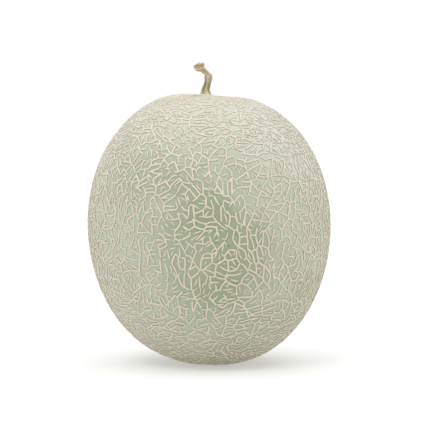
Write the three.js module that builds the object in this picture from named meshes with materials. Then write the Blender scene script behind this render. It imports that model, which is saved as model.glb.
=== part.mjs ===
// A netted melon standing on its blossom end, with the dried stalk that it was cut with.
//
// Frame: millimetres, +Z up. The origin is on the surface that the fruit stands on, under the middle of its
// widest ring. The front is the -Y side. Two solids: the fruit, grown as one piece, and its stalk.
import * as THREE from "three";

// Fruit, in millimetres.
const WIDEST_RADIUS = 75; // at the widest ring
const UPPER_HEIGHT = 81.8; // widest ring up to the stalk end, before the basin is sunk
const LOWER_HEIGHT = 87.5; // widest ring down to the blossom end, before it is flattened
const REST_FLAT = 0.8; // how much of the blossom end the flat rest spot takes off
const BASIN_DEPTH = 3; // the shallow basin round the stalk
const BASIN_RADIUS = 17.2;
const SEAT_RADIUS = 5.5; // flat seat of the stalk in the middle of the basin
const SQUARENESS = 0.875; // power of the meridian's cosine: 1 is an ellipse, and less is squarer
const LEAN = -0.8; // sideways set of the stalk end, growing evenly from the widest ring,
const END_LEAN = -1.6; // and more of it in the last few millimetres. The blossom end is set the other way
const SHOULDER_SLOPE = 0.029; // how much the shoulders fall for each millimetre towards +X
const END_POWER = 9; // power of the height that keeps the last two close to the ends

// Slow waves round the fruit: how many, how deep against the radius, and where each starts.
const WAVES = [
  { count: 2, depth: 0.0035, start: 0.6 },
  { count: 3, depth: 0.003, start: 2.1 },
  { count: 5, depth: 0.0015, start: 4.0 },
];

// Facets of the fruit.
const FRUIT_SIDES = 72;
const FRUIT_RINGS = 38;

// Stalk: its centre line, in millimetres from the middle of its seat, and its radius there.
const STALK_LINE = [
  { at: [0, 0, 0], radius: 4.6 },
  { at: [0, 0, 1.3], radius: 3.5 },
  { at: [0.1, 0.1, 3.8], radius: 2.5 },
  { at: [0.9, 0.2, 6.5], radius: 2.1 },
  { at: [1.5, 0.1, 9.1], radius: 2.2 },
  { at: [1.8, -0.2, 11.2], radius: 2.35 },
  { at: [1, -0.8, 13.3], radius: 1.7 },
  { at: [-0.9, -1.6, 15.2], radius: 1.75 },
  { at: [-2.9, -2.5, 16.6], radius: 2.4 },
  { at: [-3.7, -3.3, 17.5], radius: 3.1 },
  { at: [-4, -3.9, 18.3], radius: 3.8 },
];
const STALK_RIBS = 5;
const RIB_DEPTH = 0.07; // against the stalk's radius
const STALK_SIDES = 30;
const STALK_RINGS = 36;

/** The fruit's radius on its meridian, before the waves. Latitudes are in radians, and 0 on the widest ring. */
function meridianRadius(latitude) {
  return WIDEST_RADIUS * Math.cos(latitude) ** SQUARENESS;
}

/** Height over the widest ring. In the upper half, the basin round the stalk is sunk into the shoulders. */
function meridianLevel(latitude) {
  if (latitude < 0) return LOWER_HEIGHT * Math.sin(latitude);
  const basin = BASIN_DEPTH * Math.exp(-((meridianRadius(latitude) / BASIN_RADIUS) ** 2));
  return UPPER_HEIGHT * Math.sin(latitude) - basin;
}

/** Latitude of the seat's edge, where the meridian has the seat's radius. */
function seatLatitude() {
  return Math.acos((SEAT_RADIUS / WIDEST_RADIUS) ** (1 / SQUARENESS));
}

/** Latitude of the rest spot's edge, where the meridian is REST_FLAT above its own lowest point. */
function restLatitude() {
  return -Math.asin(1 - REST_FLAT / LOWER_HEIGHT);
}

/** Sideways offset of the fruit's axis at a latitude. */
function axisOffset(latitude) {
  const share = Math.sin(latitude);
  return LEAN * share + END_LEAN * share ** END_POWER;
}

/** How far the shoulders stand above the level ring at a latitude, for each millimetre towards -X. The seat
 * and the lower half are level. */
function shoulderSlope(latitude) {
  const share = Math.max(Math.sin(latitude), 0);
  const outside = 1 - Math.exp(-((meridianRadius(latitude) / SEAT_RADIUS - 1) ** 2));
  return SHOULDER_SLOPE * share ** END_POWER * outside;
}

/** How much the waves widen the fruit at a bearing. They die out towards both ends. */
function waveFactor(bearing, latitude) {
  const sum = WAVES.reduce((total, w) => total + w.depth * Math.cos(w.count * bearing + w.start), 0);
  return 1 + sum * Math.cos(latitude);
}

/** A point on the fruit's skin. */
function fruitPoint(latitude, bearing) {
  const reach = meridianRadius(latitude) * waveFactor(bearing, latitude);
  const sideways = reach * Math.cos(bearing);
  const level = meridianLevel(latitude) - shoulderSlope(latitude) * sideways;
  return new THREE.Vector3(
    axisOffset(latitude) + sideways,
    reach * Math.sin(bearing),
    level + LOWER_HEIGHT - REST_FLAT,
  );
}

/** Rings of points on the skin, from the edge of the rest spot to the edge of the seat. */
function fruitRings() {
  const rings = [];
  for (let ring = 0; ring <= FRUIT_RINGS; ring++) {
    const latitude = THREE.MathUtils.lerp(restLatitude(), seatLatitude(), ring / FRUIT_RINGS);
    const points = [];
    for (let side = 0; side < FRUIT_SIDES; side++)
      points.push(fruitPoint(latitude, (2 * Math.PI * side) / FRUIT_SIDES));
    rings.push(points);
  }
  return rings;
}

/** The middle of a ring of points. */
function middleOf(ring) {
  const sum = ring.reduce((total, point) => total.add(point), new THREE.Vector3());
  return sum.divideScalar(ring.length);
}

/** A closed skin over rings of points that each run anticlockwise seen from the last one, with a flat end
 * fanned out from the middle of the first ring and another from the middle of the last. */
function closedSkin(rings) {
  const sides = rings[0].length;
  const points = [middleOf(rings[0]), ...rings.flat(), middleOf(rings.at(-1))];
  const last = points.length - 1;
  const faces = [];
  for (let side = 0; side < sides; side++) {
    const next = (side + 1) % sides;
    faces.push(0, 1 + next, 1 + side);
    for (let ring = 0; ring < rings.length - 1; ring++) {
      const low = 1 + ring * sides;
      const high = low + sides;
      faces.push(low + side, low + next, high + next, low + side, high + next, high + side);
    }
    faces.push(last - sides + side, last - sides + next, last);
  }
  const geometry = new THREE.BufferGeometry().setFromPoints(points);
  geometry.setIndex(faces);
  geometry.computeVertexNormals();
  return geometry;
}

/** The stalk's radius a share of the way along its line, straight between the stated radii. */
function stalkRadius(share) {
  const along = share * (STALK_LINE.length - 1);
  const before = Math.min(Math.floor(along), STALK_LINE.length - 2);
  return THREE.MathUtils.lerp(STALK_LINE[before].radius, STALK_LINE[before + 1].radius, along - before);
}

/** Rings of points round the stalk's line, ribbed lengthwise. */
function stalkRings() {
  const line = new THREE.CatmullRomCurve3(STALK_LINE.map((stop) => new THREE.Vector3(...stop.at)));
  const rings = [];
  let across = new THREE.Vector3(1, 0, 0);
  for (let ring = 0; ring <= STALK_RINGS; ring++) {
    const share = ring / STALK_RINGS;
    // The foot is level, so that it lies flat on its seat.
    const along = ring === 0 ? new THREE.Vector3(0, 0, 1) : line.getTangent(share);
    across = across.clone().addScaledVector(along, -across.dot(along)).normalize();
    const other = new THREE.Vector3().crossVectors(along, across);
    const points = [];
    for (let side = 0; side < STALK_SIDES; side++) {
      const turn = (2 * Math.PI * side) / STALK_SIDES;
      const radius = stalkRadius(share) * (1 + RIB_DEPTH * Math.cos(STALK_RIBS * turn));
      const point = line.getPoint(share).addScaledVector(across, radius * Math.cos(turn));
      points.push(point.addScaledVector(other, radius * Math.sin(turn)));
    }
    rings.push(points);
  }
  return rings;
}

/** A named solid with its own finish. */
function solid(name, rings, color, roughness) {
  const material = new THREE.MeshStandardMaterial({ color, roughness, metalness: 0 });
  const mesh = new THREE.Mesh(closedSkin(rings), material);
  mesh.name = name;
  return mesh;
}

const melon = new THREE.Group();

const skin = fruitRings();
melon.add(solid("fruit", skin, 0xbcbfa4, 0.55));

const stalk = solid("stalk", stalkRings(), 0xb9a384, 0.8);
stalk.position.copy(middleOf(skin.at(-1)));
melon.add(stalk);

export default melon;
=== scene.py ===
"""A netted melon standing on its blossom end, with the dried stalk that it was cut with.

Metres, in the frame's own axes: +Z up, -Y the front. The rind and the net over it stand for the CAD node
`fruit`, and the ribbed stalk stands for the node `stalk`. The net is grown like the real one: the rind
cracks, the cracks run until they meet another or close, and cork fills them as raised strands.
"""

import logging
import math
from dataclasses import dataclass, field
from enum import Enum
from typing import Any

import bmesh
import bpy
import numpy as np
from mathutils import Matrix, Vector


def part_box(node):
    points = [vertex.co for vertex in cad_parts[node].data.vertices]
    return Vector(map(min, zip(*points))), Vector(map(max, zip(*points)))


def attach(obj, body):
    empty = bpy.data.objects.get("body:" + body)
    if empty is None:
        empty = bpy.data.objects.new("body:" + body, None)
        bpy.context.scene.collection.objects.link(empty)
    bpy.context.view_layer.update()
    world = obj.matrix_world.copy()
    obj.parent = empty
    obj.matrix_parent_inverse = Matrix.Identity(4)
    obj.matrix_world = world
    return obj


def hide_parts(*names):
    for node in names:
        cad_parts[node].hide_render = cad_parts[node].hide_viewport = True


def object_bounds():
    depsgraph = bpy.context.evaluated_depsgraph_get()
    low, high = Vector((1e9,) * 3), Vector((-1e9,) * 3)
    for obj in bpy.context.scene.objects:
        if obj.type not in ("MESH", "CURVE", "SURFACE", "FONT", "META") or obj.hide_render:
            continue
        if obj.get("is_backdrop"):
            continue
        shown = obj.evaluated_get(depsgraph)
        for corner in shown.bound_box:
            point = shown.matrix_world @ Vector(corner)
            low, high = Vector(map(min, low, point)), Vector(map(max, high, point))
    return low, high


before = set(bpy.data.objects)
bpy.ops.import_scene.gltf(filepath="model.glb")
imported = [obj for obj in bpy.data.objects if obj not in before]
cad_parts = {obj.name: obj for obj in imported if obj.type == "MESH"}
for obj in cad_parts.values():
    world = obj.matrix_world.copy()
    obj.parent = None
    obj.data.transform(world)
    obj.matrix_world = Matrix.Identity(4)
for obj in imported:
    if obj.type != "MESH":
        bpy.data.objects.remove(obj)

log = logging.getLogger("melon")
MM = 0.001
BODY = "root"
BAKE_UV = "OFBake"


# ---------------------------------------------------------------------------------------------------- shading
class Socket:
    """An output socket that adds Math nodes when it is used in arithmetic."""

    def __init__(self, graph: "Graph", socket: bpy.types.NodeSocket) -> None:
        """Keeps the socket and the graph that it belongs to."""
        self.graph = graph
        self.socket = socket

    def _math(self, operation: str, first: Any, second: Any) -> "Socket":
        """Adds one Math node."""
        return self.graph.node("ShaderNodeMath", {"operation": operation}, {0: first, 1: second})

    def __add__(self, other: Any) -> "Socket":
        """This plus other."""
        return self._math("ADD", self, other)

    def __sub__(self, other: Any) -> "Socket":
        """This minus other."""
        return self._math("SUBTRACT", self, other)

    def __rsub__(self, other: Any) -> "Socket":
        """Other minus this."""
        return self._math("SUBTRACT", other, self)

    def __mul__(self, other: Any) -> "Socket":
        """This times other."""
        return self._math("MULTIPLY", self, other)

    __radd__ = __add__
    __rmul__ = __mul__


class Graph:
    """The node tree of one material."""

    def __init__(self, name: str) -> None:
        """Starts an empty material.

        Args:
            name: The material's name.
        """
        self.material = bpy.data.materials.new(name)
        self.material.use_nodes = True
        self.tree = self.material.node_tree
        self.tree.nodes.clear()

    def node(
        self,
        kind: str,
        settings: dict[str, Any] | None = None,
        inputs: dict[str | int, Any] | None = None,
        output: str | int = 0,
    ) -> Socket:
        """Adds a node.

        Args:
            kind: The node's type.
            settings: Its settings, set first.
            inputs: Values or links of its sockets, by name or number.
            output: The socket to return.

        Returns:
            The chosen output socket.
        """
        made = self.tree.nodes.new(kind)
        for key, value in (settings or {}).items():
            setattr(made, key, value)
        for key, value in (inputs or {}).items():
            if isinstance(value, Socket):
                self.tree.links.new(value.socket, made.inputs[key])
            else:
                made.inputs[key].default_value = value
        return Socket(self, made.outputs[output])

    def place(self) -> Socket:
        """Object coordinates, in metres."""
        return self.node("ShaderNodeTexCoord", output="Object")

    def attribute(self, name: str) -> Socket:
        """A mesh attribute's number."""
        return self.node("ShaderNodeAttribute", {"attribute_name": name}, output="Fac")

    def distance(self, first: Any, second: Any) -> Socket:
        """How far apart two places are."""
        return self.node("ShaderNodeVectorMath", {"operation": "DISTANCE"}, {0: first, 1: second}, output="Value")

    def noise(
        self, scale: float, detail: float = 2.0, roughness: float = 0.5, stretch: Socket | None = None
    ) -> Socket:
        """Noise from 0 to 1 on Object coordinates.

        Args:
            scale: Cells a metre.
            detail: Octaves.
            roughness: How strong the small octaves are.
            stretch: Other coordinates to read.

        Returns:
            The noise.
        """
        vector = stretch or self.place()
        inputs = {"Vector": vector, "Scale": scale, "Detail": detail, "Roughness": roughness}
        return self.node("ShaderNodeTexNoise", {}, inputs)

    def ease(self, value: Any, low: float, high: float) -> Socket:
        """0 below low, 1 above high, and a smooth step between them."""
        settings = {"interpolation_type": "SMOOTHSTEP"}
        return self.node("ShaderNodeMapRange", settings, {"Value": value, "From Min": low, "From Max": high})

    def mix(self, share: Any, low: Any, high: Any) -> Socket:
        """Mixes two colours.

        Args:
            share: How much of the second shows.
            low: The first colour, a socket or three numbers.
            high: The second colour.

        Returns:
            The mixed colour.
        """
        colours = [c if isinstance(c, Socket) else (*c[:3], 1.0) for c in (low, high)]
        inputs = {0: share, 6: colours[0], 7: colours[1]}
        return self.node("ShaderNodeMix", {"data_type": "RGBA"}, inputs, output=2)

    def bump(self, height: Any, distance: float, strength: float = 1.0) -> Socket:
        """A bumped normal from a height of 0 to 1 that stands for `distance` metres."""
        return self.node("ShaderNodeBump", {}, {"Strength": strength, "Distance": distance, "Height": height})

    def finish(self, inputs: dict[str, Any]) -> bpy.types.Material:
        """Closes the material with a Principled shader.

        Args:
            inputs: The shader's sockets.

        Returns:
            The material.
        """
        shader = self.node("ShaderNodeBsdfPrincipled", {}, inputs)
        made = self.tree.nodes.new("ShaderNodeOutputMaterial")
        self.tree.links.new(shader.socket, made.inputs["Surface"])
        return self.material


Colour = tuple[float, float, float]
SHEEN = {"Sheen Weight": 0.55, "Sheen Roughness": 0.4}


@dataclass(frozen=True)
class RindFinish:
    """The rind between the strands: waxy grey-green, greenest on the front, creamier towards the stalk. The
    front's deeper green is partly painted shade, a whitish waxy sheen on the right shoulder is partly a painted
    highlight, and the rind is darkened by painted shade next to the ground.
    """

    green: Colour = (0.305, 0.365, 0.235)
    pale: Colour = (0.525, 0.565, 0.47)
    cream: Colour = (0.61, 0.635, 0.53)
    deep_green_and_shade: Colour = (0.245, 0.30, 0.155)
    scar: Colour = (0.33, 0.24, 0.13)
    green_and_shade_patch: tuple[float, float, float] = (-3 * MM, -78 * MM, 70 * MM)
    green_and_shade_patch_slimness: tuple[float, float, float] = (1.2, 1.0, 0.78)
    green_and_shade_patch_reach: float = 62 * MM
    bloom_and_highlight: Colour = (0.70, 0.72, 0.65)
    bloom_and_highlight_middle: tuple[float, float, float] = (48 * MM, -38 * MM, 142 * MM)
    bloom_and_highlight_reach: float = 44 * MM
    scar_radius: float = 5.2 * MM
    roughness: float = 0.52

    def build(self, top: float, scar_middle: tuple[float, float]) -> bpy.types.Material:
        """Makes the material.

        Args:
            top: Height of the rind's stalk end.
            scar_middle: Where the blossom scar is, seen from above.

        Returns:
            The material.
        """
        g = Graph("rind")
        spot = g.place()
        height = g.node("ShaderNodeSeparateXYZ", {}, {0: spot}, output="Z")
        # The greenest patch, an upright oval by distance from its middle, with a noisy edge: a real deeper green,
        # and partly painted shade where the front gets less light.
        slim = g.node("ShaderNodeVectorMath", {"operation": "MULTIPLY"}, {0: spot, 1: self.green_and_shade_patch_slimness})
        middle = tuple(place * share for place, share in zip(self.green_and_shade_patch, self.green_and_shade_patch_slimness))
        ragged = g.distance(slim, middle) + (g.noise(38.0, 3.0) - 0.5) * (38 * MM)
        green = g.ease(ragged, self.green_and_shade_patch_reach, 12 * MM)
        broad = g.ease(g.noise(16.0, 2.0), 0.42, 0.68)
        base = g.mix(broad * 0.55 + green * 0.75, self.pale, self.green)
        base = g.mix(g.ease(height + (g.noise(25.0) - 0.5) * 0.05, top * 0.66, top * 1.02), base, self.cream)
        # A whitish waxy bloom on the right shoulder, partly a painted highlight.
        away = g.distance(spot, self.bloom_and_highlight_middle) + (g.noise(45.0) - 0.5) * (24 * MM)
        base = g.mix(g.ease(away, self.bloom_and_highlight_reach, 8 * MM) * 0.7, base, self.bloom_and_highlight)
        # Painted shade next to the ground: the rind darkens to a deeper green towards its base.
        base = g.mix(g.ease(height, 24 * MM, 0.0) * 0.35, base, self.deep_green_and_shade)
        # Fine mottling, deeper green freckles, and a few tiny dark specks.
        mottle = g.ease(g.noise(420.0, 3.0, 0.6), 0.3, 0.75)
        base = g.mix(mottle * 0.34, base, g.mix(0.5, base, self.deep_green_and_shade))
        freckle = g.ease(g.noise(210.0, 2.0), 0.66, 0.74)
        base = g.mix(freckle * 0.6, base, self.deep_green_and_shade)
        speck = g.node("ShaderNodeTexVoronoi", {}, {"Vector": spot, "Scale": 130.0}, output="Distance")
        sparse = g.ease(g.noise(70.0), 0.58, 0.62)
        dark = g.ease(speck, 0.09, 0.05) * sparse
        base = g.mix(dark * 0.8, base, (0.06, 0.085, 0.045))
        # The blossom scar on the underside.
        centre = (scar_middle[0], scar_middle[1], 0.0)
        span = g.distance(spot, centre)
        base = g.mix(g.ease(span, self.scar_radius * 1.25, self.scar_radius * 0.8), base, self.scar)
        relief = g.noise(900.0, 3.0, 0.6) * 0.6 + mottle * 0.4
        inputs = {
            "Base Color": base,
            "Roughness": g.noise(120.0) * 0.16 + (self.roughness - 0.08),
            "Specular IOR Level": 0.42,
            **SHEEN,
            "Normal": g.bump(relief, 0.05 * MM, 0.6),
        }
        return g.finish(inputs)


@dataclass(frozen=True)
class NetFinish:
    """The corky strands: dry cream crests, greener flanks where they leave the rind, and some tan joints. The
    flanks' darkness is partly painted shade at the strands' feet, and painted shade darkens the strands over the
    lower part of the fruit.
    """

    crest: Colour = (0.80, 0.745, 0.635)
    aged_and_shaded: Colour = (0.68, 0.61, 0.475)
    flank_and_foot_shade: Colour = (0.25, 0.235, 0.12)
    tan: Colour = (0.57, 0.44, 0.31)
    shaded_below: float = 140 * MM
    pale_above: float = 138 * MM
    roughness: float = 0.86

    def build(self) -> bpy.types.Material:
        """Makes the material."""
        g = Graph("netting")
        rise = g.attribute("rise")
        aged = g.ease(g.noise(55.0, 2.0), 0.35, 0.7)
        height = g.node("ShaderNodeSeparateXYZ", {}, {0: g.place()}, output="Z")
        # Painted shade: the cork darkens from shaded_below down to 80 mm, over the lower part of the fruit; the
        # same darker colour also gives the real aged patches and grain.
        low = g.ease(height, self.shaded_below, 80 * MM)
        cork = g.mix(aged * 0.6 + g.attribute("tint") * 0.3, self.crest, self.aged_and_shaded)
        cork = g.mix(low * 0.75, cork, self.aged_and_shaded)
        grain = g.ease(g.noise(1500.0, 3.0, 0.65), 0.3, 0.75)
        cork = g.mix(grain * 0.25, cork, self.aged_and_shaded)
        joint = g.ease(g.noise(95.0, 1.0), 0.66, 0.76)
        cork = g.mix(joint * 0.55, cork, self.tan)
        # Painted shade at the strands' feet: the flanks turn dark olive low on the section, partly their own
        # colour, and this fades out over the top of the fruit, above pale_above.
        foot = g.ease(rise, 0.72, 0.24) * g.ease(height, self.pale_above + 40 * MM, self.pale_above)
        colour = g.mix(foot, cork, self.flank_and_foot_shade)
        inputs = {
            "Base Color": colour,
            "Roughness": self.roughness,
            "Specular IOR Level": 0.3,
            **SHEEN,
            "Normal": g.bump(grain, 0.06 * MM, 0.7),
        }
        return g.finish(inputs)


@dataclass(frozen=True)
class StalkFinish:
    """The dried stalk: yellow-green foot with pale ribs, dark streaks over it, tan higher up, pale rim."""

    foot: Colour = (0.50, 0.49, 0.24)
    foot_rib: Colour = (0.74, 0.72, 0.50)
    streak: Colour = (0.13, 0.085, 0.035)
    tan: Colour = (0.545, 0.43, 0.28)
    beige: Colour = (0.68, 0.58, 0.43)
    rim: Colour = (0.85, 0.78, 0.64)
    hollow: Colour = (0.56, 0.44, 0.29)
    roughness: float = 0.82

    def build(self) -> bpy.types.Material:
        """Makes the material."""
        g = Graph("stalk_skin")
        along = g.attribute("along")
        rib = g.attribute("rib")
        around = g.attribute("around")
        lines = g.node("ShaderNodeCombineXYZ", {}, {0: around * 24.0, 1: along * 5.0, 2: 0.0})
        fibre = g.noise(1.0, 4.0, 0.6, stretch=lines)
        patchy = g.noise(330.0, 2.0)
        wander = along + (patchy - 0.5) * 0.16
        dry = g.mix(g.ease(rib + (fibre - 0.5) * 2.2, -0.4, 0.7), self.tan, self.beige)
        fresh = g.mix(g.ease(rib + (fibre - 0.5) * 1.6, -0.2, 0.8), self.foot, self.foot_rib)
        colour = g.mix(g.ease(wander, 0.16, 0.34), fresh, dry)
        band = g.ease(wander, 0.08, 0.2) * g.ease(wander, 0.44, 0.3)
        dark = g.ease(fibre + rib * -0.02, 0.46, 0.57)
        colour = g.mix(band * dark * 0.95, colour, self.streak)
        colour = g.mix(dark * 0.2, colour, g.mix(0.4, colour, self.streak))
        colour = g.mix(g.ease(along, 0.9, 0.985), colour, self.rim)
        colour = g.mix(g.ease(wander, 1.09, 1.24), colour, self.hollow)
        inputs = {
            "Base Color": colour,
            "Roughness": self.roughness,
            "Specular IOR Level": 0.3,
            "Normal": g.bump(fibre, 0.35 * MM, 0.7),
        }
        return g.finish(inputs)


@dataclass(frozen=True)
class FloorFinish:
    """The studio's pale matt floor."""

    colour: Colour = (0.65, 0.65, 0.65)
    glow: float = 0.36

    def build(self) -> bpy.types.Material:
        """Makes the material."""
        g = Graph("studio_floor")
        shade = g.mix(g.noise(3.0) * 0.1, self.colour, (0.62, 0.62, 0.62))
        inputs = {
            "Base Color": shade,
            "Roughness": 0.9,
            "Specular IOR Level": 0.0,
            "Emission Color": (1.0, 1.0, 1.0, 1.0),
            "Emission Strength": self.glow,
        }
        return g.finish(inputs)


# ----------------------------------------------------------------------------------------------------- meshes
@dataclass
class Surface:
    """A mesh as arrays, before Blender has it.

    Attributes:
        points: One row of x, y and z a vertex.
        faces: Vertex numbers of the faces, in groups of one count of corners each.
        uvs: The corners' places on the bake atlas, in the same order.
        attributes: Numbers a vertex, by name.
    """

    points: np.ndarray
    faces: list[np.ndarray]
    uvs: list[np.ndarray]
    attributes: dict[str, np.ndarray] = field(default_factory=dict)

    def build(self, name: str, material: bpy.types.Material) -> bpy.types.Object:
        """Makes the Blender object, at the origin and smooth.

        Args:
            name: The piece's name.
            material: Its material.

        Returns:
            The object, linked to the scene.
        """
        mesh = bpy.data.meshes.new(name)
        corners = np.concatenate([group.ravel() for group in self.faces])
        counts = np.concatenate([np.full(len(group), group.shape[1]) for group in self.faces])
        mesh.vertices.add(len(self.points))
        mesh.vertices.foreach_set("co", self.points.astype(np.float32).ravel())
        mesh.loops.add(len(corners))
        mesh.loops.foreach_set("vertex_index", corners.astype(np.int32))
        mesh.polygons.add(len(counts))
        mesh.polygons.foreach_set("loop_start", (np.cumsum(counts) - counts).astype(np.int32))
        mesh.polygons.foreach_set("use_smooth", np.ones(len(counts), bool))
        mesh.update(calc_edges=True)
        layer = mesh.uv_layers.new(name=BAKE_UV)
        flat = np.concatenate([group.reshape(-1, 2) for group in self.uvs])
        layer.data.foreach_set("uv", flat.astype(np.float32).ravel())
        for key, values in self.attributes.items():
            made = mesh.attributes.new(key, "FLOAT", "POINT")
            made.data.foreach_set("value", values.astype(np.float32).ravel())
        mesh.validate()
        mesh.materials.append(material)
        piece = bpy.data.objects.new(name, mesh)
        bpy.context.scene.collection.objects.link(piece)
        return piece


def ringed_surface(points: np.ndarray, start: np.ndarray, stop: np.ndarray, along: np.ndarray) -> Surface:
    """Closes rings of points with a fan at each end.

    Quads join each ring to the next. A ring's points run anticlockwise seen from further along, so every face
    points outwards. The atlas is the grid itself: across is the way round, and up is the way along.

    Args:
        points: Rings by sides by x, y and z.
        start: The point that closes the first ring.
        stop: The point that closes the last ring.
        along: Each ring's share of the way along, rising from over 0 to under 1.

    Returns:
        The closed surface.
    """
    rings, sides = points.shape[:2]
    side = np.arange(sides)
    following = (side + 1) % sides
    low = np.arange(rings - 1)[:, None] * sides
    high = low + sides
    quads = np.stack([low + side, low + following, high + following, high + side], -1).reshape(-1, 4)
    last = (rings - 1) * sides
    first_pole, last_pole = rings * sides, rings * sides + 1
    bottom = np.stack([np.full(sides, first_pole), following, side], -1)
    top = np.stack([last + side, last + following, np.full(sides, last_pole)], -1)
    left = np.broadcast_to(side / sides, (rings - 1, sides))
    right = left + 1 / sides
    below = np.broadcast_to(along[:-1, None], left.shape)
    above = np.broadcast_to(along[1:, None], left.shape)
    quad_uv = np.stack([left, below, right, below, right, above, left, above], -1).reshape(-1, 4, 2)
    left, right, middle = side / sides, (side + 1) / sides, (side + 0.5) / sides
    zero, one = np.zeros(sides), np.ones(sides)
    bottom_uv = np.stack([middle, zero, right, zero + along[0], left, zero + along[0]], -1).reshape(-1, 3, 2)
    top_uv = np.stack([left, zero + along[-1], right, zero + along[-1], middle, one], -1).reshape(-1, 3, 2)
    every = np.concatenate([points.reshape(-1, 3), start[None], stop[None]])
    return Surface(every, [quads, bottom, top], [quad_uv, bottom_uv, top_uv])


def unit(vectors: np.ndarray) -> np.ndarray:
    """The vectors at length 1."""
    return vectors / np.maximum(np.linalg.norm(vectors, axis=-1, keepdims=True), 1e-12)


def smooth_step(value: np.ndarray, low: float, high: float) -> np.ndarray:
    """0 at low, 1 at high, and three t squared minus two t cubed between them."""
    t = np.clip((value - low) / (high - low), 0.0, 1.0)
    return t * t * (3 - 2 * t)


# ------------------------------------------------------------------------------------------------------ fruit
@dataclass(frozen=True)
class FruitForm:
    """The fruit's outer form: the same formulas as the CAD solid, at the size of the frame's node.

    The meridian's radius is the widest radius times the cosine of the latitude to a power, and its level is
    a height times the latitude's sine. A basin is sunk round the stalk.
    """

    widest: float = 75 * MM
    upper: float = 81.8 * MM
    lower: float = 87.5 * MM
    rest_flat: float = 0.8 * MM
    basin_depth: float = 3 * MM
    basin_radius: float = 17.2 * MM
    seat_radius: float = 5.5 * MM
    squareness: float = 0.875
    lean: float = -0.8 * MM
    end_lean: float = -1.6 * MM
    shoulder_slope: float = 0.029
    end_power: int = 9
    waves: tuple[tuple[int, float, float], ...] = ((2, 0.0035, 0.6), (3, 0.003, 2.1), (5, 0.0015, 4.0))

    def radius(self, latitude: np.ndarray) -> np.ndarray:
        """The meridian's radius."""
        return self.widest * np.maximum(np.cos(latitude), 0.0) ** self.squareness

    def level(self, latitude: np.ndarray) -> np.ndarray:
        """Height over the widest ring: sine of the latitude, less a bell-shaped basin in the upper half."""
        basin = self.basin_depth * np.exp(-((self.radius(latitude) / self.basin_radius) ** 2))
        return np.where(latitude < 0, self.lower * np.sin(latitude), self.upper * np.sin(latitude) - basin)

    def point(self, latitude: np.ndarray, bearing: np.ndarray) -> np.ndarray:
        """A point of the outer form: the meridian with slow waves, sloping shoulders and a leaning axis."""
        share = np.sin(latitude)
        radius = self.radius(latitude)
        wave = sum(depth * np.cos(count * bearing + start) for count, depth, start in self.waves)
        reach = radius * (1 + wave * np.cos(latitude))
        sideways = reach * np.cos(bearing)
        outside = 1 - np.exp(-((radius / self.seat_radius - 1) ** 2))
        slope = self.shoulder_slope * np.maximum(share, 0) ** self.end_power * outside
        offset = self.lean * share + self.end_lean * share**self.end_power
        height = self.level(latitude) - slope * sideways + self.lower - self.rest_flat
        return np.stack([offset + sideways, reach * np.sin(bearing), np.maximum(height, 0.0)], -1)

    def normal(self, latitude: np.ndarray, bearing: np.ndarray) -> np.ndarray:
        """The outward normal: the slope along the parallel crossed with the slope up the meridian."""
        step = 1e-4
        inner = np.clip(latitude, -1.5, 1.5)
        north = self.point(inner + step, bearing) - self.point(inner - step, bearing)
        east = self.point(inner, bearing + step) - self.point(inner, bearing - step)
        return unit(np.cross(east, north))

    def pace(self, latitude: np.ndarray) -> tuple[np.ndarray, np.ndarray]:
        """How far a radian of latitude is, and how much the radius changes for each metre of it."""
        step = 1e-4
        rise = (self.level(latitude + step) - self.level(latitude - step)) / (2 * step)
        widen = (self.radius(latitude + step) - self.radius(latitude - step)) / (2 * step)
        pace = np.hypot(rise, widen)
        return pace, widen / pace

    def latitude_at(self, radius: float) -> float:
        """The latitude, north, where the meridian has a radius."""
        return math.acos((radius / self.widest) ** (1 / self.squareness))


class Trend(Enum):
    """Which way a crack tends to run."""

    GRAIN = "with the rind's local grain"
    ROUND = "round the fruit"


@dataclass(frozen=True)
class Brood:
    """One generation of cracks.

    Attributes:
        tries: How many places are tried in a round.
        rounds: How many rounds there are.
        shortest: The shortest crack's length.
        longest: The longest crack's length.
        clear: How far a crack starts from every other.
        trend: Which way it tends to run.
        stray: How far its first heading strays from that, in radians.
        kink: How far it runs between kinks, on average.
        bend: How sharp a kink is, in radians.
        joins: The share of tips that run on into a crack they come near. The others stop short of it.
        steer: How strongly it turns back to its trend at each step.
        width: The full width of its strand.
        arms: 2 for a plain crack, 3 for a forked one.
        at_ends: Whether it only grows near the two ends of the fruit.
    """

    tries: int
    rounds: int
    shortest: float
    longest: float
    clear: float
    trend: Trend
    stray: float
    kink: float
    bend: float
    joins: float
    steer: float
    width: float
    arms: int = 2
    at_ends: bool = False


HOOPS = Brood(
    tries=4000, rounds=5, shortest=5 * MM, longest=18 * MM, clear=1.9 * MM, trend=Trend.ROUND, stray=0.18,
    kink=4 * MM, bend=0.3, joins=0.9, steer=0.08, width=1.15 * MM, at_ends=True,
)
DASHES = Brood(
    tries=9000, rounds=6, shortest=4 * MM, longest=8 * MM, clear=2.1 * MM, trend=Trend.GRAIN, stray=0.4,
    kink=3 * MM, bend=0.3, joins=0.6, steer=0.04, width=1.1 * MM,
)
NICKS = Brood(
    tries=9000, rounds=4, shortest=3.5 * MM, longest=7 * MM, clear=1.7 * MM, trend=Trend.GRAIN, stray=0.5,
    kink=4 * MM, bend=0.3, joins=0.5, steer=0.0, width=1.0 * MM,
)


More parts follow.
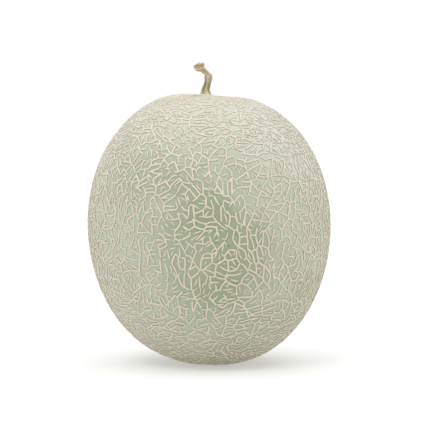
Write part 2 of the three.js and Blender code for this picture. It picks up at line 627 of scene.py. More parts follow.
@dataclass(frozen=True)
class Mosaic:
    """The first cracks, which are the edges of irregular cells all over the fruit.

    Attributes:
        count: How many cells there are.
        jitter: How far a cell's middle strays from an even spread, against their spacing.
        warp: How far slow waves push the cells' corners about, against the fruit's radius.
        squeeze: How much flatter the cells are towards the ends of the fruit, and taller at its middle.
        bow: The most that an edge bows to a side, against its length.
        gone: The share of the edges that never opened. Near the ends more upright ones and fewer level ones.
        broken: The share of the edges that stop part of the way, in the same manner.
        width: The mean full width of a strand.
    """

    count: int = 2600
    jitter: float = 0.28
    warp: float = 0.04
    squeeze: float = 0.15
    bow: float = 0.08
    gone: float = 0.15
    broken: float = 0.25
    width: float = 1.2 * MM

    def middles(self, random: np.random.Generator) -> np.ndarray:
        """The cells' middles, on a unit sphere: a spiral that spreads evenly, jittered."""
        number = np.arange(self.count) + 0.5
        turn = number * np.pi * (3 - math.sqrt(5))
        level = 1 - 2 * number / self.count
        reach = np.sqrt(1 - level**2)
        even = np.stack([reach * np.cos(turn), reach * np.sin(turn), level], -1)
        spacing = math.sqrt(4 * np.pi / self.count)
        return unit(even + random.normal(0, self.jitter * spacing, even.shape))

    def edges(self, middles: np.ndarray) -> np.ndarray:
        """The two ends of every edge between cells.

        The middles' convex hull has a face for each corner where three cells meet, square to that corner, and
        an edge for each two cells that share one.

        Args:
            middles: The cells' middles.

        Returns:
            Edges by ends by coordinates, on the unit sphere.
        """
        mesh = bpy.data.meshes.new("cells")
        mesh.from_pydata(middles, [], [])
        hull = bmesh.new()
        hull.from_mesh(mesh)
        bmesh.ops.convex_hull(hull, input=hull.verts)
        hull.to_mesh(mesh)
        hull.free()
        corners = np.empty(len(mesh.polygons) * 3, np.float32)
        mesh.polygons.foreach_get("normal", corners)
        sides = np.empty(len(mesh.loops), np.int32)
        mesh.loops.foreach_get("edge_index", sides)
        bpy.data.meshes.remove(mesh)
        faces = (np.argsort(sides, kind="stable") // 3).reshape(-1, 2)
        return corners.reshape(-1, 3).astype(float)[faces]

    def warped(self, places: np.ndarray, random: np.random.Generator) -> np.ndarray:
        """Pushes places on the sphere about by slow waves, and up or down towards the ends."""
        ways = random.normal(0, 5.0, (3, 3))
        starts = random.uniform(0, 2 * np.pi, 3)
        pushed = unit(places + self.warp * np.sin(places @ ways.T + starts))
        latitude = np.arcsin(np.clip(pushed[..., 2], -1, 1))
        latitude = latitude + self.squeeze * np.sin(2 * latitude)
        level = unit(pushed * (1, 1, 0) + 1e-12) * np.cos(latitude)[..., None]
        return level * (1, 1, 0) + np.sin(latitude)[..., None] * np.array([0, 0, 1])

    def paths(
        self, form: FruitForm, random: np.random.Generator, step: float
    ) -> list[tuple[np.ndarray, bool, float]]:
        """Each crack's places from a corner on, whether it reaches the next corner, and its strand's width.

        Args:
            form: The fruit's form.
            random: The random numbers.
            step: About how far apart the places are.

        Returns:
            The paths.
        """
        ends = self.warped(self.edges(self.middles(random)), random)
        count = len(ends)
        flip = random.uniform(size=count) < 0.5
        ends[flip] = ends[flip, ::-1]
        chord = ends[:, 1] - ends[:, 0]
        span = np.linalg.norm(chord, axis=1)
        upright = np.abs(chord[:, 2]) / (span * np.sqrt(1 - ends[:, 0, 2] ** 2) + 1e-9)
        calm = smooth_step(np.abs(ends[:, 0, 2]), 0.35, 0.75)
        fate = random.uniform(size=count) * (1 + calm * (2.5 - 3.1 * np.minimum(upright, 1.0)))
        reach = np.where(fate < self.gone + self.broken, random.uniform(0.35, 0.8, count), 1.0)
        bow = unit(np.cross(ends[:, 0], chord)) * span[:, None]
        bow = bow * random.uniform(-4 * self.bow, 4 * self.bow, count)[:, None]
        length = span * form.widest * reach
        width = self.width * random.uniform(0.85, 1.15, count)
        paths = []
        for number in np.flatnonzero(fate > self.gone):
            share = np.linspace(0, reach[number], max(2, round(length[number] / step) + 1))[:, None]
            spots = unit(ends[number, 0] + share * chord[number] + share * (1 - share) * bow[number])
            places = np.stack([np.arcsin(spots[:, 2]), np.unwrap(np.arctan2(spots[:, 1], spots[:, 0]))], -1)
            paths.append((places, bool(reach[number] == 1.0), float(width[number])))
        return paths


@dataclass
class Strands:
    """Every strand's path, end to end in one array.

    Attributes:
        places: Latitude and bearing of each point.
        strand: The strand of each point.
        first: Each strand's first point.
        last: Each strand's last point.
        joined: Whether each strand's two ends run into another.
        width: Each strand's full width.
    """

    places: np.ndarray
    strand: np.ndarray
    first: np.ndarray
    last: np.ndarray
    joined: np.ndarray
    width: np.ndarray

    @classmethod
    def gather(cls, paths: list[tuple[np.ndarray, bool, bool, float]]) -> "Strands":
        """Lays the paths end to end.

        Args:
            paths: Each strand's places, whether each end is joined, and its width.

        Returns:
            The strands.
        """
        counts = np.array([len(path[0]) for path in paths])
        last = np.cumsum(counts) - 1
        return cls(
            places=np.concatenate([path[0] for path in paths]),
            strand=np.repeat(np.arange(len(paths)), counts),
            first=last - counts + 1,
            last=last,
            joined=np.array([path[1:3] for path in paths]),
            width=np.array([path[3] for path in paths]),
        )

    def neighbours(self) -> tuple[np.ndarray, np.ndarray]:
        """The points before and after each point, which is its own neighbour at an end."""
        here = np.arange(len(self.places))
        return np.maximum(here - 1, self.first[self.strand]), np.minimum(here + 1, self.last[self.strand])

    def smoothed(self, passes: int) -> "Strands":
        """Evens the paths out: each inner point moves to a quarter, a half and a quarter of its three."""
        before, after = self.neighbours()
        inner = (before != after - 1) & (before != after)
        for _ in range(passes):
            even = (self.places[before] + 2 * self.places + self.places[after]) / 4
            self.places = np.where(inner[:, None], even, self.places)
        return self


class Growth:
    """Cracks growing over the rind until they meet.

    Each crack starts at a clear place and its tips step over the surface together. A tip bends at random
    kinks, and a grid of cells round the fruit says which crack has been there before.
    """

    step: float = 1.0 * MM
    cell: float = 1.3 * MM
    shortest_strand: int = 2

    def __init__(self, form: FruitForm, seed: int, stalk_clear: float, blossom_clear: float) -> None:
        """Starts with an unbroken rind.

        Args:
            form: The fruit's form.
            seed: Seed of the random numbers.
            stalk_clear: The bare radius round the stalk.
            blossom_clear: The bare radius round the blossom scar.
        """
        self.form = form
        self.random = np.random.default_rng(seed)
        self.north = form.latitude_at(stalk_clear)
        self.south = -form.latitude_at(blossom_clear)
        self.low = np.array([-1.1, -1.1, -0.1]) * form.widest
        span = np.array([2.2, 2.2, 2.5]) * form.widest
        self.shape = tuple((span / self.cell).astype(int) + 1)
        self.taken = np.full(int(np.prod(self.shape)), -1)
        self.owner = np.zeros(0, int)
        self.spot = np.zeros((0, 2))
        self.paths: list[tuple[np.ndarray, bool, bool, float]] = []
        ways = unit(self.random.normal(size=(6, 3)))
        self.grain_ways = ways * (2 * np.pi / (self.random.uniform(26, 60, 6)[:, None] * MM))
        self.grain_starts = self.random.uniform(0, 2 * np.pi, 6)

    def cells(self, latitude: np.ndarray, bearing: np.ndarray) -> np.ndarray:
        """The three cell numbers of each place."""
        return ((self.form.point(latitude, bearing) - self.low) / self.cell).astype(int)

    def flat(self, cells: np.ndarray) -> np.ndarray:
        """One number for each cell."""
        return np.ravel_multi_index(tuple(np.moveaxis(cells, -1, 0)), self.shape, mode="clip")

    def grain(self, latitude: np.ndarray, bearing: np.ndarray) -> np.ndarray:
        """The rind's grain, as a heading: slow waves that die out towards the ends, where it runs round."""
        wave = np.cos(self.form.point(latitude, bearing) @ self.grain_ways.T + self.grain_starts).sum(-1)
        calm = smooth_step(np.abs(latitude), math.radians(22), math.radians(47))
        return 0.75 * wave * (1 - 0.85 * calm)

    def claim(self, latitude: np.ndarray, bearing: np.ndarray, strand: np.ndarray) -> None:
        """Marks the cells of new points as taken."""
        numbers = len(self.owner) + np.arange(len(latitude))
        self.owner = np.concatenate([self.owner, strand])
        self.spot = np.concatenate([self.spot, np.stack([latitude, bearing], -1)])
        cells = self.flat(self.cells(latitude, bearing))
        free = self.taken[cells] < 0
        self.taken[cells[free]] = numbers[free]

    def clear_places(self, brood: Brood) -> tuple[np.ndarray, np.ndarray]:
        """Random places that are clear of every crack and of each other.

        Args:
            brood: The generation to start.

        Returns:
            Latitudes and bearings.
        """
        latitude = np.arcsin(self.random.uniform(-0.995, 0.998, brood.tries))
        bearing = self.random.uniform(-np.pi, np.pi, brood.tries)
        if brood.at_ends:
            share = 0.1 + 0.9 * smooth_step(np.abs(latitude), 0.4, 0.95)
            keep = self.random.uniform(size=brood.tries) < share
            latitude, bearing = latitude[keep], bearing[keep]
        latitude = np.clip(latitude, self.south, self.north)
        block = np.floor(self.form.point(latitude, bearing) / brood.clear).astype(int)
        _, first = np.unique(block, axis=0, return_index=True)
        first.sort()
        latitude, bearing = latitude[first], bearing[first]
        reach = math.ceil(brood.clear / self.cell)
        steps = np.arange(-reach, reach + 1)
        ball = np.stack(np.meshgrid(steps, steps, steps, indexing="ij"), -1).reshape(-1, 3)
        ball = ball[np.linalg.norm(ball, axis=1) <= brood.clear / self.cell]
        around = self.flat(self.cells(latitude, bearing)[:, None] + ball)
        free = (self.taken[around] < 0).all(1)
        return latitude[free], bearing[free]

    def headings(self, brood: Brood, latitude: np.ndarray, bearing: np.ndarray) -> np.ndarray:
        """A first heading for each crack, anticlockwise from east."""
        stray = self.random.normal(0, brood.stray, len(latitude))
        if brood.trend is Trend.ROUND:
            return stray
        return self.grain(latitude, bearing) + stray

    def turn(self, brood: Brood, tips: "Tips", live: np.ndarray) -> None:
        """Turns the live tips: a wobble, now and then a kink, and a pull back to the brood's trend."""
        count = len(live)
        kinked = self.random.uniform(size=count) < self.step / brood.kink
        kink = self.random.normal(0, brood.bend, count)
        tips.heading[live] += np.where(kinked, kink, self.random.normal(0, 0.07, count))
        wanted = 0.0
        if brood.trend is Trend.GRAIN:
            wanted = self.grain(tips.latitude[live], tips.bearing[live])
        away = (wanted - tips.heading[live] + np.pi / 2) % np.pi - np.pi / 2
        tips.heading[live] += brood.steer * away

    def met(self, tips: "Tips", live: np.ndarray, ahead: tuple[np.ndarray, np.ndarray]) -> np.ndarray:
        """The point of another crack that each tip comes to, or -1.

        Args:
            tips: The tips.
            live: Which of them are live.
            ahead: Latitudes and bearings one step on.

        Returns:
            Point numbers.
        """
        found = np.full(len(live), -1)
        for share in (0.5, 1.0, 1.6):
            latitude = tips.latitude[live] + share * (ahead[0] - tips.latitude[live])
            bearing = tips.bearing[live] + share * (ahead[1] - tips.bearing[live])
            there = self.taken[self.flat(self.cells(latitude, bearing))]
            other = (there >= 0) & (self.owner[there] != tips.strand[live])
            found = np.where((found < 0) & other, there, found)
        return found

    def open(self, mosaic: Mosaic) -> None:
        """Lays the first cracks, where they are outside the bare rounds at the two ends.

        Args:
            mosaic: The cells that they run round.
        """
        for places, through, width in mosaic.paths(self.form, self.random, 1.2 * self.step):
            inside = (places[:, 0] < self.north) & (places[:, 0] > self.south)
            whole = bool(inside.all())
            places = places[inside]
            if len(places) > 1:
                self.claim(places[:, 0], places[:, 1], np.full(len(places), len(self.owner)))
                self.add_path(places, whole, whole and through, width)

    def grow(self, brood: Brood) -> None:
        """Grows one generation.

        Args:
            brood: What to grow.
        """
        for _ in range(brood.rounds):
            latitude, bearing = self.clear_places(brood)
            if len(latitude):
                self.run(brood, Tips.start(self, brood, latitude, bearing))

    def run(self, brood: Brood, tips: "Tips") -> None:
        """Steps the tips until all have stopped, and keeps their paths.

        A step north is the step's sine over the pace of the latitude, and a step east is its cosine over the
        radius. The heading turns by the radius's change over the radius, as a straight line's does.
        """
        live = np.arange(len(tips.latitude))
        trail = [np.stack([tips.latitude, tips.bearing], -1)]
        while len(live):
            self.turn(brood, tips, live)
            heading = tips.heading[live]
            pace, widening = self.form.pace(tips.latitude[live])
            radius = self.form.radius(tips.latitude[live])
            latitude = tips.latitude[live] + self.step * np.sin(heading) / pace
            bearing = tips.bearing[live] + self.step * np.cos(heading) / radius
            tips.heading[live] += self.step * widening * np.cos(heading) / radius
            inside = (latitude < self.north) & (latitude > self.south)
            found = self.met(tips, live, (latitude, bearing))
            free = inside & (found < 0)
            joining = inside & (found >= 0) & tips.joins[live]
            target = self.spot[found]
            whole_turns = 2 * np.pi * np.round((bearing - target[:, 1]) / (2 * np.pi))
            latitude = np.where(joining, target[:, 0], latitude)
            bearing = np.where(joining, target[:, 1] + whole_turns, bearing)
            moved = free | joining
            row = np.full((len(tips.latitude), 2), np.nan)
            row[live[moved]] = np.stack([latitude, bearing], -1)[moved]
            trail.append(row)
            tips.latitude[live[moved]] = latitude[moved]
            tips.bearing[live[moved]] = bearing[moved]
            tips.joined[live[joining]] = True
            self.claim(latitude[free], bearing[free], tips.strand[live[free]])
            tips.left[live] -= 1
            live = live[free & (tips.left[live] > 0)]
        self.keep(np.array(trail), brood, tips)

    def keep(self, trail: np.ndarray, brood: Brood, tips: "Tips") -> None:
        """Makes a path of each crack's first two arms, and one of its third.

        Args:
            trail: Steps by tips by latitude and bearing, not a number where a tip has stopped.
            brood: The generation.
            tips: Its tips.
        """
        arms = brood.arms
        for start in range(0, trail.shape[1], arms):
            runs = [trail[~np.isnan(trail[:, start + arm, 0]), start + arm] for arm in range(arms)]
            main = np.concatenate([runs[0][::-1], runs[1][1:]])
            ends = tips.joined[start : start + arms]
            self.add_path(main, ends[0], ends[1], brood.width)
            if arms == 3:
                self.add_path(runs[2], True, ends[2], brood.width)

    def add_path(self, path: np.ndarray, first_joined: bool, last_joined: bool, width: float) -> None:
        """Keeps a path, without points that fall together, if enough of it is left."""
        spots = self.form.point(path[:, 0], path[:, 1])
        apart = np.linalg.norm(np.diff(spots, axis=0), axis=1) > 0.25 * self.step
        path = path[np.concatenate([[True], apart])]
        if len(path) >= self.shortest_strand:
            self.paths.append((path, bool(first_joined), bool(last_joined), width))


@dataclass
class Tips:
    """The growing tips of one round of cracks.

    Attributes:
        latitude: Where each tip is.
        bearing: Where each tip is.
        heading: Which way it runs, anticlockwise from east.
        strand: The crack that it belongs to.
        left: How many steps it has left.
        joins: Whether it runs on into a crack that it comes near.
        joined: Whether it has.
    """

    latitude: np.ndarray
    bearing: np.ndarray
    heading: np.ndarray
    strand: np.ndarray
    left: np.ndarray
    joins: np.ndarray
    joined: np.ndarray

    @classmethod
    def start(cls, growth: Growth, brood: Brood, latitude: np.ndarray, bearing: np.ndarray) -> "Tips":
        """Sets out the arms of each crack: two nearly opposite, and any third off to the outer side.

        Args:
            growth: The growth that the tips belong to.
            brood: The generation.
            latitude: Where the cracks start.
            bearing: Where the cracks start.

        Returns:
            The tips, arm by arm.
        """
        count, arms, random = len(latitude), brood.arms, growth.random
        side = random.choice([-1, 1], count)
        back = np.pi + (arms == 3) * side * random.uniform(0.1, 0.9, count)
        spread = np.stack([np.zeros(count), back, -side * random.uniform(1.3, 2.0, count)], 1)[:, :arms]
        heading = growth.headings(brood, latitude, bearing)[:, None] + spread
        length = random.uniform(brood.shortest, brood.longest, count) / growth.step
        share = random.uniform(0.3, 0.7, count)
        shares = np.stack([share, 1 - share, random.uniform(0.2, 0.6, count)], 1)[:, :arms]
        strand = len(growth.owner) + np.arange(count)
        growth.claim(latitude, bearing, strand)
        return cls(
            latitude=np.repeat(latitude, arms),
            bearing=np.repeat(bearing, arms),
            heading=heading.ravel(),
            strand=np.repeat(strand, arms),
            left=(length[:, None] * shares).round().astype(int).ravel(),
            joins=random.uniform(size=count * arms) < brood.joins,
            joined=np.zeros(count * arms, bool),
        )


class Quarter(Enum):
    """The four quarters of the net, by the bearing of each one's middle, in quarter turns from +X."""

    RIGHT = 0
    BACK = 1
    LEFT = 2
    FRONT = 3


@dataclass
class Fruit:
    """The fruit: its rind and the net over it.

    Attributes:
        form: The outer form, which the strands' crests touch.
        rise: How far a full strand stands over the rind.
        sink: How far a strand's foot goes into the rind.
        rings: Rings of the rind's grid.
        sides: Sides of the rind's grid.
        mosaic: The first cracks.
        broods: The later generations of cracks, in order.
        seed: Seed of the net.
        section: Across and up as a share of the rise, from the right foot over the crest to the left foot.
        tapers: How narrow a free end is at its last point and at the one before it.
        collar: Height, radius and breadth of the swelling round the stalk, and how much it leans to +X.
        dale: Depth, middle and breadth of the dip over the shoulders.
        scar_ring: Height, radius and breadth of the blossom scar's ring.
        scar_hollow: Depth and radius of the hollow in it.
        cushion: Height of the slow waves.
    """

    form: FruitForm
    rise: float = 0.45 * MM
    sink: float = 0.35 * MM
    rings: int = 260
    sides: int = 280
    mosaic: Mosaic = Mosaic()
    broods: tuple[Brood, ...] = (HOOPS, DASHES, NICKS)
    seed: int = 7
    section: tuple[tuple[float, float], ...] = (
        (-1.22, 0.0), (-1.14, 0.07), (-0.6, 0.82), (0.0, 1.0), (0.6, 0.82), (1.14, 0.07), (1.22, 0.0),
    )
    tapers: tuple[float, float] = (0.42, 0.86)
    collar: tuple[float, float, float, float] = (0.8 * MM, 4.6 * MM, 1.9 * MM, 0.45)
    dale: tuple[float, float, float] = (0.9 * MM, 11 * MM, 10 * MM)
    scar_ring: tuple[float, float, float] = (0.25 * MM, 4.6 * MM, 0.9 * MM)
    scar_hollow: tuple[float, float] = (0.7 * MM, 3.0 * MM)
    cushion: float = 0.05 * MM

    def relief(self, latitude: np.ndarray, bearing: np.ndarray) -> np.ndarray:
        """How far the rind stands over its base level.

        Round the stalk it swells in a bell-shaped collar, higher towards +X, and a shallow dale runs over the
        shoulders beside it. Under the fruit the blossom scar is a low ring with a hollow in it. Between them
        it is slightly cushioned by slow waves.
        """
        radius = self.form.radius(latitude)
        height, ring, breadth, lean = self.collar
        collar = height * np.exp(-(((radius - ring) / breadth) ** 2)) * (1 + lean * np.cos(bearing))
        height, ring, breadth = self.scar_ring
        scar = height * np.exp(-(((radius - ring) / breadth) ** 2))
        depth, reach = self.scar_hollow
        scar = scar - depth * np.exp(-((radius / reach) ** 2))
        spot = self.form.point(latitude, bearing)
        x, y, z = np.moveaxis(spot, -1, 0)
        depth, middle, breadth = self.dale
        dale = depth * np.exp(-(((x - middle) / breadth) ** 2)) * smooth_step(latitude, 0.75, 1.05)
        cushion = np.sin(620 * x + 1.3) * np.sin(580 * z + 0.4) * np.sin(640 * y + 2.2)
        ends = np.where(latitude > 0.75, collar - dale, np.where(latitude < -1.0, scar, 0.0))
        return ends + self.cushion * cushion * np.cos(latitude)

    def rind_point(self, latitude: np.ndarray, bearing: np.ndarray) -> np.ndarray:
        """A point of the rind: the outer form, moved in by a strand's rise, plus the relief."""
        depth = self.relief(latitude, bearing) - self.rise
        return self.form.point(latitude, bearing) + depth[..., None] * self.form.normal(latitude, bearing)

    def rind(self) -> Surface:
        """The rind, closed at both ends: rings of latitude from pole to pole."""
        share = (np.arange(self.rings) + 1) / (self.rings + 1)
        latitude = (share - 0.5) * np.pi
        bearing = 2 * np.pi * np.arange(self.sides) / self.sides
        grid = np.meshgrid(latitude, bearing, indexing="ij")
        points = self.rind_point(*grid)
        start = points[0].mean(0)
        stop = points[-1].mean(0)
        return ringed_surface(points, start, stop, share)

    def grown(self) -> Strands:
        """Grows the net's strands."""
        growth = Growth(self.form, self.seed, stalk_clear=6.4 * MM, blossom_clear=5.2 * MM)
        growth.open(self.mosaic)
        for brood in self.broods:
            growth.grow(brood)
        strands = Strands.gather(growth.paths).smoothed(2)
        log.info("net: %d strands, %d points", len(strands.first), len(strands.places))
        return strands

    def ridge(self, strands: Strands) -> tuple[np.ndarray, np.ndarray]:
        """Carries the section along every strand.

        The section stands square to the path, lies over the rind's normal, and swells and thins with the
        place. At a free end it narrows and sinks over its last points.

        Args:
            strands: The paths.

        Returns:
            Rings of points, and each ring point's share of the full rise.
        """
        latitude, bearing = strands.places.T
        outer = self.form.point(latitude, bearing)
        up = self.form.normal(latitude, bearing)
        before, after = strands.neighbours()
        ahead = unit(outer[after] - outer[before])
        left = unit(np.cross(up, ahead))
        x, y, z = (outer / MM).T
        lumps = 1 + 0.13 * np.sin(1.7 * x + 0.9 * z) * np.sin(1.3 * y - 1.1 * z + 0.8)
        lumps = lumps + 0.05 * np.sin(3.1 * (x - y + z))
        here = np.arange(len(outer))
        taper = np.ones(len(outer))
        for end, ends in ((0, strands.first), (1, strands.last)):
            away = np.abs(here - ends[strands.strand])
            loose = ~strands.joined[strands.strand, end]
            for steps, narrow in enumerate(self.tapers):
                taper = np.where(loose & (away == steps), taper * narrow, taper)
        half = 0.5 * strands.width[strands.strand] * lumps * taper
        # A narrowed end also stands lower: a full strand keeps all of its rise, and a fifth is left at the tip.
        kept = 1.6 - 0.6 / np.maximum(taper, 0.4)
        rise = np.minimum(self.rise * kept * (0.5 + 0.5 * lumps), self.rise)
        across, share = np.array(self.section).T
        base = self.rind_point(latitude, bearing)
        height = np.where(share > 0, share * rise[:, None], -self.sink)
        rings = base[:, None] + left[:, None] * (half[:, None] * across)[..., None]
        rings = rings + up[:, None] * height[..., None]
        rings[..., 2] = np.maximum(rings[..., 2], 0.0)
        return rings, np.broadcast_to(share, height.shape)

    def net(self, strands: Strands, quarter: Quarter) -> Surface:
        """The strands of one quarter, each a closed ridge.

        Each step along a strand is one column of the atlas, whose rows hold as many columns as keep its cells
        about square, and each end cap is a column of its own.

        Args:
            strands: The paths.
            quarter: The quarter that a strand's middle is in.

        Returns:
            The ridges.
        """
        middle = strands.places[(strands.first + strands.last) // 2, 1]
        chosen = np.round(middle / (np.pi / 2)).astype(int) % 4 == quarter.value
        kept = np.flatnonzero(chosen[strands.strand])
        rings, share = self.ridge(strands)
        renumber = np.full(len(strands.places), -1)
        renumber[kept] = np.arange(len(kept))
        points = rings[kept].reshape(-1, 3)
        corners = len(self.section)
        corner = np.arange(corners)
        following = (corner + 1) % corners
        inner = kept[kept != strands.last[strands.strand[kept]]]
        low = renumber[inner][:, None] * corners
        high = low + corners
        quads = np.stack([low + corner, high + corner, high + following, low + following], -1)
        first = renumber[strands.first[chosen]][:, None] * corners + corner
        last = renumber[strands.last[chosen]][:, None] * corners + corner[::-1]
        columns = len(quads) + len(first) + len(last)
        per_row = math.ceil(math.sqrt(2.7 * columns))
        rows = math.ceil(columns / per_row)
        number = np.arange(columns)
        left = (number % per_row) / per_row
        base = (number // per_row) / rows
        strip = 0.06 + 0.88 * np.arange(corners + 1) / corners
        below = base[: len(quads), None] + strip[:-1] / rows
        above = base[: len(quads), None] + strip[1:] / rows
        near = np.broadcast_to(left[: len(quads), None], below.shape)
        far = near + 1 / per_row
        quad_uv = np.stack([near, below, far, below, far, above, near, above], -1).reshape(-1, 4, 2)
        turn = 2 * np.pi * corner / corners
        disc = np.stack([0.5 + 0.4 * np.cos(turn), 0.5 + 0.4 * np.sin(turn)], -1) / (per_row, rows)
        cap_uv = np.stack([left[len(quads) :], base[len(quads) :]], -1)[:, None] + disc
        tint = np.random.default_rng(self.seed).uniform(0, 1, len(strands.first))[strands.strand[kept]] ** 3
        attributes = {"rise": share[kept].ravel(), "tint": np.repeat(tint, corners)}
        faces = [quads.reshape(-1, 4), np.concatenate([first, last])]
        return Surface(points, faces, [quad_uv, cap_uv], attributes)

    def build(self) -> list[bpy.types.Object]:
        """Makes the rind and the four quarters of the net."""
        scar = self.form.point(np.array(-np.pi / 2), np.array(0.0))
        top = float(self.form.point(np.array(1.2), np.array(0.0))[2])
        rind = self.rind().build("rind", RindFinish().build(top, (float(scar[0]), float(scar[1]))))
        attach(rind, BODY)
        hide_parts("fruit")
        pieces = [rind]
        strands = self.grown()
        cork = NetFinish().build()
        for quarter in Quarter:
            piece = self.net(strands, quarter).build(f"net_{quarter.name.lower()}", cork)
            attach(piece, BODY)
            pieces.append(piece)
        return pieces


# ------------------------------------------------------------------------------------------------------ stalk
@dataclass
class Stalk:
    """The dried stalk: a ribbed, bent stem with a flared foot and a flared, hollow cut end.

    Attributes:
        foot: The middle of its foot on the fruit.
        line: Its centre line from the foot, in millimetres.
        radii: Its radius at the same stops, in millimetres.
        ribs: How many main ribs it has.
        twist: How far the ribs turn on the way up, in radians.
        rings: Rings on the outside.
        hollow_rings: Rings inside the cut end.
        sides: Points a ring.
    """

    foot: np.ndarray
    line: tuple[tuple[float, float, float], ...] = (
        (0, 0, -0.6), (0, 0, 1.3), (0.1, 0.1, 3.8), (0.9, 0.2, 6.5), (1.5, 0.1, 9.1),
        (1.8, -0.2, 11.2), (1, -0.8, 13.3), (-0.9, -1.6, 15.2), (-2.9, -2.5, 16.6), (-3.7, -3.3, 17.4),
        (-3.95, -3.85, 18.1),
    )
    radii: tuple[float, ...] = (4.7, 3.4, 2.45, 2.05, 2.15, 2.3, 1.65, 1.7, 2.3, 3.0, 3.65)
    ribs: int = 5
    twist: float = 0.9
    rings: int = 190
    hollow_rings: int = 26
    hollow_depth: float = 2.2 * MM
    sides: int = 112

    @staticmethod
    def through(stops: np.ndarray, share: np.ndarray) -> np.ndarray:
        """A smooth curve through evenly spaced stops: a Catmull-Rom cubic of the four round each share."""
        along = share * (len(stops) - 1)
        before = np.clip(np.floor(along).astype(int), 0, len(stops) - 2)
        t = (along - before)[:, None]
        padded = np.concatenate([2 * stops[:1] - stops[1:2], stops, 2 * stops[-1:] - stops[-2:-1]])
        a, b, c, d = (padded[before + k] for k in range(4))
        slope, bend, twist = c - a, 2 * a - 5 * b + 4 * c - d, 3 * b - a - 3 * c + d
        return 0.5 * (2 * b + slope * t + bend * t**2 + twist * t**3)

    def surface(self) -> Surface:
        """The stalk's skin.

        A ring's radius is the stem's, times one plus sharpened main ribs, fine ribs and slow lumps. Past the
        ragged rim the rings turn in and go back down the hollow.
        """
        share = np.concatenate([np.linspace(0, 1, self.rings), np.ones(self.hollow_rings)])
        deeper = np.arange(1, self.hollow_rings + 1) / (self.hollow_rings + 1)
        inward = np.concatenate([np.zeros(self.rings), deeper])
        stops = np.array(self.line) * MM
        line = self.through(stops, share)
        radius = self.through(np.array(self.radii)[:, None] * MM, share)[:, 0]
        tangent = unit(np.gradient(self.through(stops, np.linspace(0, 1, self.rings)), axis=0))
        tangent = np.concatenate([tangent, np.repeat(tangent[-1:], self.hollow_rings, 0)])
        tangent[0] = (0, 0, 1)
        across = unit(np.array([1.0, 0, 0]) - tangent[:, :1] * tangent)
        other = np.cross(tangent, across)
        turn = 2 * np.pi * np.arange(self.sides) / self.sides
        s, t = np.meshgrid(share, turn, indexing="ij")
        inside = np.broadcast_to(inward[:, None], s.shape)
        rib = self.rib(s, t)
        depth = 0.06 - 0.02 * smooth_step(s, 0.0, 0.25) + 0.03 * np.exp(-(((s - 0.55) / 0.09) ** 2))
        fine = 0.028 * np.cos(17 * t + 5 * s + 1.2 * np.sin(9 * s)) + 0.016 * np.cos(31 * t - 8 * s)
        lump = 0.07 * np.sin(23 * s + 2 * np.cos(t + 1)) * np.cos(2 * t + 6 * s) * smooth_step(s, 0.08, 0.25)
        knuckle = 0.16 * np.exp(-(((s - 0.54) / 0.035) ** 2)) * (1 + 0.6 * np.cos(t - 0.4))
        calm = 1 - smooth_step(inside, 0.0, 0.9)
        swell = 1 + (depth * rib + fine + lump + knuckle) * calm
        lip = np.sqrt(np.clip(1 - inside**1.7, 0.0, 1.0))
        reach = radius[:, None] * swell * lip
        ragged = 0.25 * MM * np.sin(3 * t + 0.8) + 0.2 * MM * np.sin(7 * t + 2.1) + 0.12 * MM * np.sin(13 * t)
        rim = smooth_step(s, 0.93, 1.0) * (1 - smooth_step(inside, 0.0, 0.5)) * ragged
        back = self.hollow_depth * np.sin(inside * np.pi / 2) ** 1.3
        offset = (rim - back)[..., None] * tangent[:, None]
        around = np.cos(t)[..., None] * across[:, None] + np.sin(t)[..., None] * other[:, None]
        points = self.foot + line[:, None] + reach[..., None] * around + offset
        order = (np.arange(len(share)) + 1) / (len(share) + 1)
        made = ringed_surface(points, points[0].mean(0), points[-1].mean(0), order)
        poles = (np.array([0.0, 2.0]), np.zeros(2), np.zeros(2))
        fields = (s + inside, rib, np.minimum(t, 2 * np.pi - t))
        for key, values, ends in zip(("along", "rib", "around"), fields, poles):
            made.attributes[key] = np.concatenate([values.ravel(), ends])
        return made

    def rib(self, share: np.ndarray, turn: np.ndarray) -> np.ndarray:
        """The main ribs, from -1 to 1: a sharpened cosine that turns with the stem's twist."""
        wave = np.cos(self.ribs * (turn + self.twist * share) + 0.5 * np.sin(2 * turn))
        return np.sign(wave) * np.abs(wave) ** 0.8

    def build(self) -> bpy.types.Object:
        """Makes the stalk."""
        piece = self.surface().build("dried_stalk", StalkFinish().build())
        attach(piece, BODY)
        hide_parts("stalk")
        return piece


# ----------------------------------------------------------------------------------------------------- studio
@dataclass(frozen=True)
class Lamp:
    """One distant soft light: where it comes from, how wide it looks and how bright it is."""

    name: str
    place: tuple[float, float, float]
    spread: float
    strength: float

    def build(self, aim: np.ndarray) -> bpy.types.Object:
        """Makes the light, turned to what it lights.

        Args:
            aim: The point that it faces.

        Returns:
            The light.
        """
        data = bpy.data.lights.new(self.name, "SUN")
        data.angle = math.radians(self.spread)
        data.energy = self.strength
        lamp = bpy.data.objects.new(self.name, data)
        lamp.location = self.place
        lamp.rotation_euler = look(np.array(self.place), aim)
        bpy.context.scene.collection.objects.link(lamp)
        return lamp


def look(place: np.ndarray, aim: np.ndarray) -> tuple[float, float, float]:
    """The turn, as Euler angles, of a lamp or camera at a place that faces a point and stands level."""
    x, y, z = aim - place
    return math.acos(-z / math.sqrt(x * x + y * y + z * z)), 0.0, math.atan2(y, x) - math.pi / 2


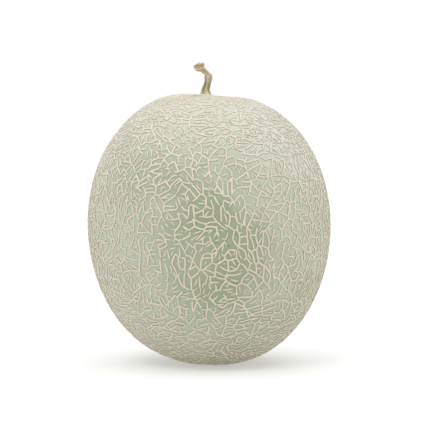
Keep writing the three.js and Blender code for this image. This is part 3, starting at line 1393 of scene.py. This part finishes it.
@dataclass(frozen=True)
class Studio:
    """A pale floor, soft light from all round, and the camera."""

    sky: float = 0.66
    lamps: tuple[Lamp, ...] = (
        Lamp("overhead", (0.0, -0.05, 1.7), 80.0, 1.45),
        Lamp("key", (-0.45, -1.0, 1.3), 20.0, 0.38),
    )
    elevation: float = math.radians(2.0)
    distance: float = 1.0
    lens: float = 138.0
    aim_x: float = 0.7 * MM
    aim_share: float = 0.507  # of the object's height
    floor_size: float = 90.0

    def build(self, low: np.ndarray, high: np.ndarray) -> None:
        """Sets the studio up round the object.

        Args:
            low: The object's lowest corner.
            high: Its highest corner.
        """
        aim = np.array([self.aim_x, 0.0, low[2] + self.aim_share * (high[2] - low[2])])
        self.camera(aim)
        for lamp in self.lamps:
            lamp.build(aim)
        self.world()
        self.floor(low[2])
        bpy.context.scene.view_settings.view_transform = "Standard"

    def camera(self, aim: np.ndarray) -> None:
        """Makes the camera: in front, a little above the middle, with a long lens."""
        data = bpy.data.cameras.new("camera")
        data.lens = self.lens
        data.clip_end = 200.0
        away = np.array([0.0, -math.cos(self.elevation), math.sin(self.elevation)])
        camera = bpy.data.objects.new("camera", data)
        camera.location = aim + self.distance * away
        camera.rotation_euler = look(np.array(camera.location), aim)
        bpy.context.scene.collection.objects.link(camera)
        bpy.context.scene.camera = camera

    def world(self) -> None:
        """Lights the scene evenly, and shows white behind it."""
        world = bpy.data.worlds.new("studio")
        world.use_nodes = True
        tree = world.node_tree
        tree.nodes.clear()
        path = tree.nodes.new("ShaderNodeLightPath")
        lit = tree.nodes.new("ShaderNodeBackground")
        lit.inputs["Strength"].default_value = self.sky
        lit.inputs["Color"].default_value = (1.0, 1.0, 1.0, 1.0)
        seen = tree.nodes.new("ShaderNodeBackground")
        seen.inputs["Color"].default_value = (1.0, 1.0, 1.0, 1.0)
        mix = tree.nodes.new("ShaderNodeMixShader")
        out = tree.nodes.new("ShaderNodeOutputWorld")
        tree.links.new(path.outputs["Is Camera Ray"], mix.inputs["Fac"])
        tree.links.new(lit.outputs["Background"], mix.inputs[1])
        tree.links.new(seen.outputs["Background"], mix.inputs[2])
        tree.links.new(mix.outputs["Shader"], out.inputs["Surface"])
        bpy.context.scene.world = world

    def floor(self, level: float) -> None:
        """Lays the floor."""
        half = self.floor_size / 2
        corners = ((-half, -half), (half, -half), (half, half), (-half, half))
        points = np.array([[x, y, level] for x, y in corners])
        square = np.array([[[0.0, 0.0], [1.0, 0.0], [1.0, 1.0], [0.0, 1.0]]])
        floor = Surface(points, [np.array([[0, 1, 2, 3]])], [square]).build("floor", FloorFinish().build())
        floor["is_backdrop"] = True


def main() -> None:
    """Builds the melon and the studio round it."""
    logging.basicConfig(level=logging.INFO, format="%(name)s: %(message)s")
    cad_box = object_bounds()
    low, high = (np.array(corner) for corner in cad_box)
    Studio().build(low, high)
    for piece in Fruit(FruitForm()).build():
        log.info("%s: %d faces", piece.name, len(piece.data.polygons))
    seat_low, seat_high = (np.array(corner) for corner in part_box("stalk"))
    form = FruitForm()
    seat = form.point(np.array(form.latitude_at(form.seat_radius)), np.array([0.0, np.pi])).mean(0)
    seat[2] = seat_low[2]
    piece = Stalk(seat).build()
    tall = (seat_high - seat_low)[2] / MM
    log.info("%s: %d faces, %.1f mm tall", piece.name, len(piece.data.polygons), tall)
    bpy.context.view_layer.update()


if __name__ == "__main__":
    main()
